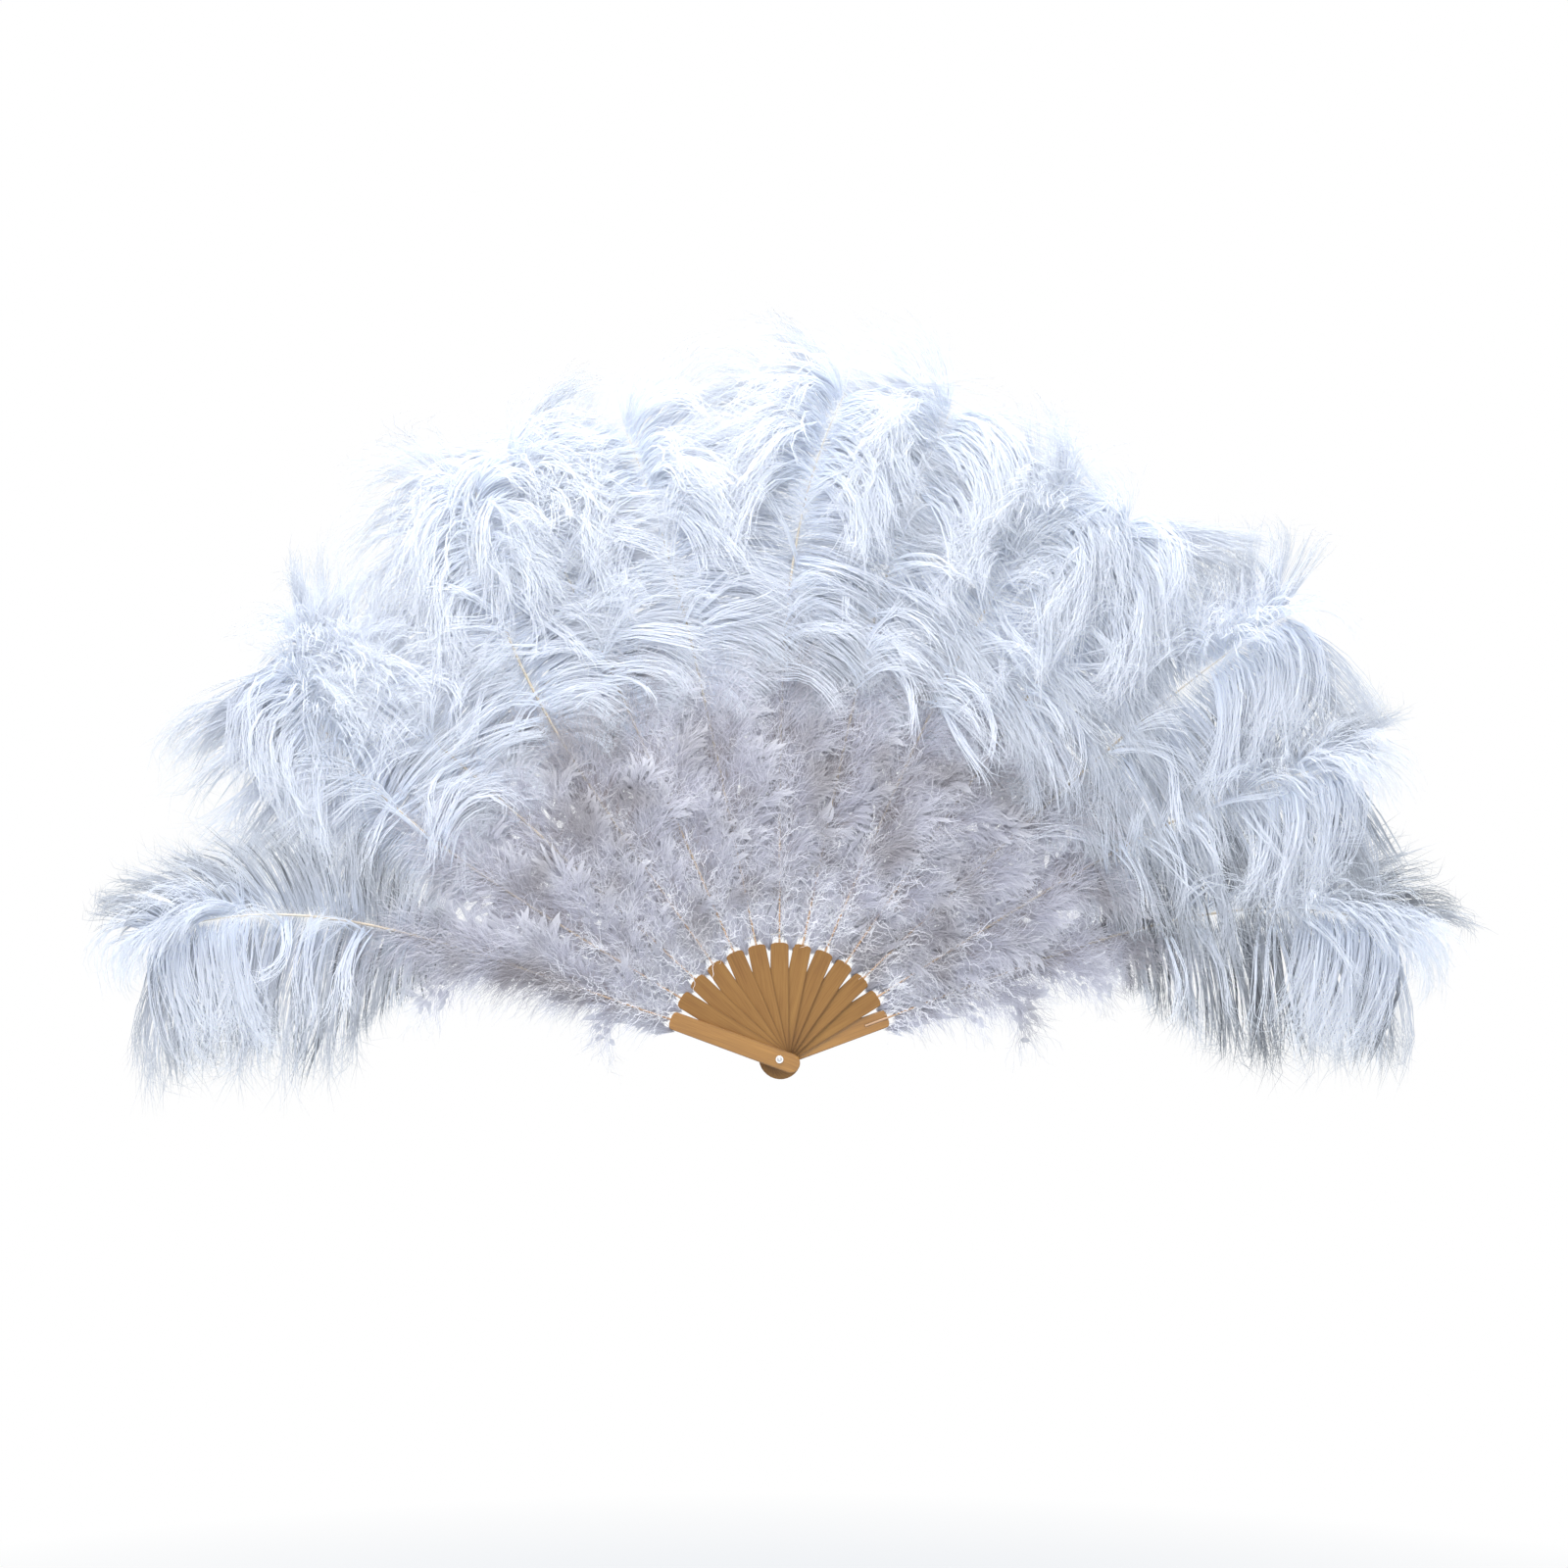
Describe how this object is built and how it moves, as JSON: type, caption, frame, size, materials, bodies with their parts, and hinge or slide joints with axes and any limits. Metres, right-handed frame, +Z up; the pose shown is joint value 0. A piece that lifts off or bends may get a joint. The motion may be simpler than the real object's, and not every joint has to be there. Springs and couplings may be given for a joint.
{
  "type": "feather fan",
  "caption": "Large folding fan of white ostrich plumes over marabou down, on bamboo staves that turn on one rivet, shown open.",
  "frame": {"origin": "on the rivet's axis, half way through the stack of staves, where a hand holds the fan", "axes": "+Z up along the middle stave of the open fan, +X to the viewer's right, -Y is the front of the fan and Y is the rivet's axis"},
  "size_m": [1.3013, 0.1375, 0.7317],
  "materials": {
    "bamboo": "satin",
    "guard_bamboo": "gloss",
    "quill_horn": "satin",
    "ostrich_white": "matte",
    "marabou_white": "matte",
    "steel": "polished",
    "thread": "matte"
  },
  "bodies": {
    "front_guard": {"front_guard": "guard_bamboo", "plume_quill_01": "quill_horn", "plume_vane_01": "ostrich_white", "marabou_down_01": "marabou_white", "rivet": "steel", "front_washer": "steel", "rear_washer": "steel", "linking_thread": "thread"},
    "stick_02": {"stick_02": "bamboo", "plume_quill_02": "quill_horn", "plume_vane_02": "ostrich_white", "marabou_down_02": "marabou_white"},
    "stick_03": {"stick_03": "bamboo", "plume_quill_03": "quill_horn", "plume_vane_03": "ostrich_white", "marabou_down_03": "marabou_white"},
    "stick_04": {"stick_04": "bamboo", "plume_quill_04": "quill_horn", "plume_vane_04": "ostrich_white", "marabou_down_04": "marabou_white"},
    "stick_05": {"stick_05": "bamboo", "plume_quill_05": "quill_horn", "plume_vane_05": "ostrich_white", "marabou_down_05": "marabou_white"},
    "stick_06": {"stick_06": "bamboo", "plume_quill_06": "quill_horn", "plume_vane_06": "ostrich_white", "marabou_down_06": "marabou_white"},
    "stick_07": {"stick_07": "bamboo", "plume_quill_07": "quill_horn", "plume_vane_07": "ostrich_white", "marabou_down_07": "marabou_white"},
    "stick_08": {"stick_08": "bamboo", "plume_quill_08": "quill_horn", "plume_vane_08": "ostrich_white", "marabou_down_08": "marabou_white"},
    "stick_09": {"stick_09": "bamboo", "plume_quill_09": "quill_horn", "plume_vane_09": "ostrich_white", "marabou_down_09": "marabou_white"},
    "stick_10": {"stick_10": "bamboo", "plume_quill_10": "quill_horn", "plume_vane_10": "ostrich_white", "marabou_down_10": "marabou_white"},
    "stick_11": {"stick_11": "bamboo", "plume_quill_11": "quill_horn", "plume_vane_11": "ostrich_white", "marabou_down_11": "marabou_white"},
    "stick_12": {"stick_12": "bamboo", "plume_quill_12": "quill_horn", "plume_vane_12": "ostrich_white", "marabou_down_12": "marabou_white"},
    "rear_guard": {"rear_guard": "guard_bamboo", "plume_quill_13": "quill_horn", "plume_vane_13": "ostrich_white", "marabou_down_13": "marabou_white"}
  },
  "joints": [
    {"name": "fan_fold", "type": "hinge", "parent": "front_guard", "child": "rear_guard", "pos_m": [0, 0, 0], "axis": [0, 1, 0], "range_deg": [-140, 0], "deforming": ["linking_thread"]},
    {"name": "fold_02", "type": "hinge", "parent": "front_guard", "child": "stick_02", "pos_m": [0, 0, 0], "axis": [0, 1, 0], "range_deg": [-11.67, 0]},
    {"name": "fold_03", "type": "hinge", "parent": "front_guard", "child": "stick_03", "pos_m": [0, 0, 0], "axis": [0, 1, 0], "range_deg": [-23.33, 0]},
    {"name": "fold_04", "type": "hinge", "parent": "front_guard", "child": "stick_04", "pos_m": [0, 0, 0], "axis": [0, 1, 0], "range_deg": [-35, 0]},
    {"name": "fold_05", "type": "hinge", "parent": "front_guard", "child": "stick_05", "pos_m": [0, 0, 0], "axis": [0, 1, 0], "range_deg": [-46.67, 0]},
    {"name": "fold_06", "type": "hinge", "parent": "front_guard", "child": "stick_06", "pos_m": [0, 0, 0], "axis": [0, 1, 0], "range_deg": [-58.33, 0]},
    {"name": "fold_07", "type": "hinge", "parent": "front_guard", "child": "stick_07", "pos_m": [0, 0, 0], "axis": [0, 1, 0], "range_deg": [-70, 0]},
    {"name": "fold_08", "type": "hinge", "parent": "front_guard", "child": "stick_08", "pos_m": [0, 0, 0], "axis": [0, 1, 0], "range_deg": [-81.67, 0]},
    {"name": "fold_09", "type": "hinge", "parent": "front_guard", "child": "stick_09", "pos_m": [0, 0, 0], "axis": [0, 1, 0], "range_deg": [-93.33, 0]},
    {"name": "fold_10", "type": "hinge", "parent": "front_guard", "child": "stick_10", "pos_m": [0, 0, 0], "axis": [0, 1, 0], "range_deg": [-105, 0]},
    {"name": "fold_11", "type": "hinge", "parent": "front_guard", "child": "stick_11", "pos_m": [0, 0, 0], "axis": [0, 1, 0], "range_deg": [-116.67, 0]},
    {"name": "fold_12", "type": "hinge", "parent": "front_guard", "child": "stick_12", "pos_m": [0, 0, 0], "axis": [0, 1, 0], "range_deg": [-128.33, 0]}
  ],
  "couplings": [
    {"joint": "fold_02", "follows": "fan_fold", "ratio": 0.083333},
    {"joint": "fold_03", "follows": "fan_fold", "ratio": 0.16667},
    {"joint": "fold_04", "follows": "fan_fold", "ratio": 0.25},
    {"joint": "fold_05", "follows": "fan_fold", "ratio": 0.33333},
    {"joint": "fold_06", "follows": "fan_fold", "ratio": 0.41667},
    {"joint": "fold_07", "follows": "fan_fold", "ratio": 0.5},
    {"joint": "fold_08", "follows": "fan_fold", "ratio": 0.58333},
    {"joint": "fold_09", "follows": "fan_fold", "ratio": 0.66667},
    {"joint": "fold_10", "follows": "fan_fold", "ratio": 0.75},
    {"joint": "fold_11", "follows": "fan_fold", "ratio": 0.83333},
    {"joint": "fold_12", "follows": "fan_fold", "ratio": 0.91667}
  ]
}
